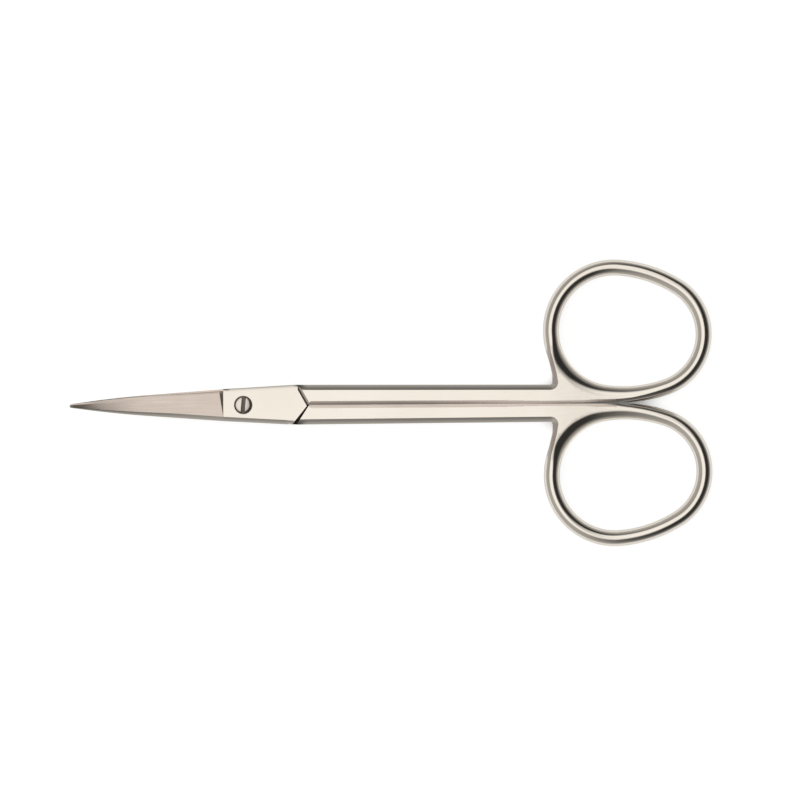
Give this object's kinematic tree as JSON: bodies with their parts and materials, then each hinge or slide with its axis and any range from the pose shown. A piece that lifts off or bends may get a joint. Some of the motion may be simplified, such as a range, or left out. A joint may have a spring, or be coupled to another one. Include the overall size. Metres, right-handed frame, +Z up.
{
  "type": "cuticle scissors",
  "caption": "Small scissors with fine upcurved blades, a slotted pivot screw, slim straight shanks and oval finger rings, for trimming cuticles.",
  "frame": {"origin": "on the pivot axis, at the level of the flat underside that the scissors rest on", "axes": "+X from the pivot towards the finger rings, +Z up towards the face with the screw head, +Y towards the front half's finger ring"},
  "size_m": [0.1, 0.0448, 0.0048],
  "materials": {
    "rear_steel": "polished nickel plate",
    "front_steel": "polished nickel plate",
    "screw_steel": "turned steel"
  },
  "bodies": {
    "rear": {"rear_half": "rear_steel", "pivot_screw": "screw_steel"},
    "front": {"front_half": "front_steel"}
  },
  "joints": [
    {"name": "pivot", "type": "hinge", "parent": "rear", "child": "front", "pos_m": [0, 0, 0.0015], "axis": [0, 0, 1], "range_deg": [0, 120]}
  ]
}
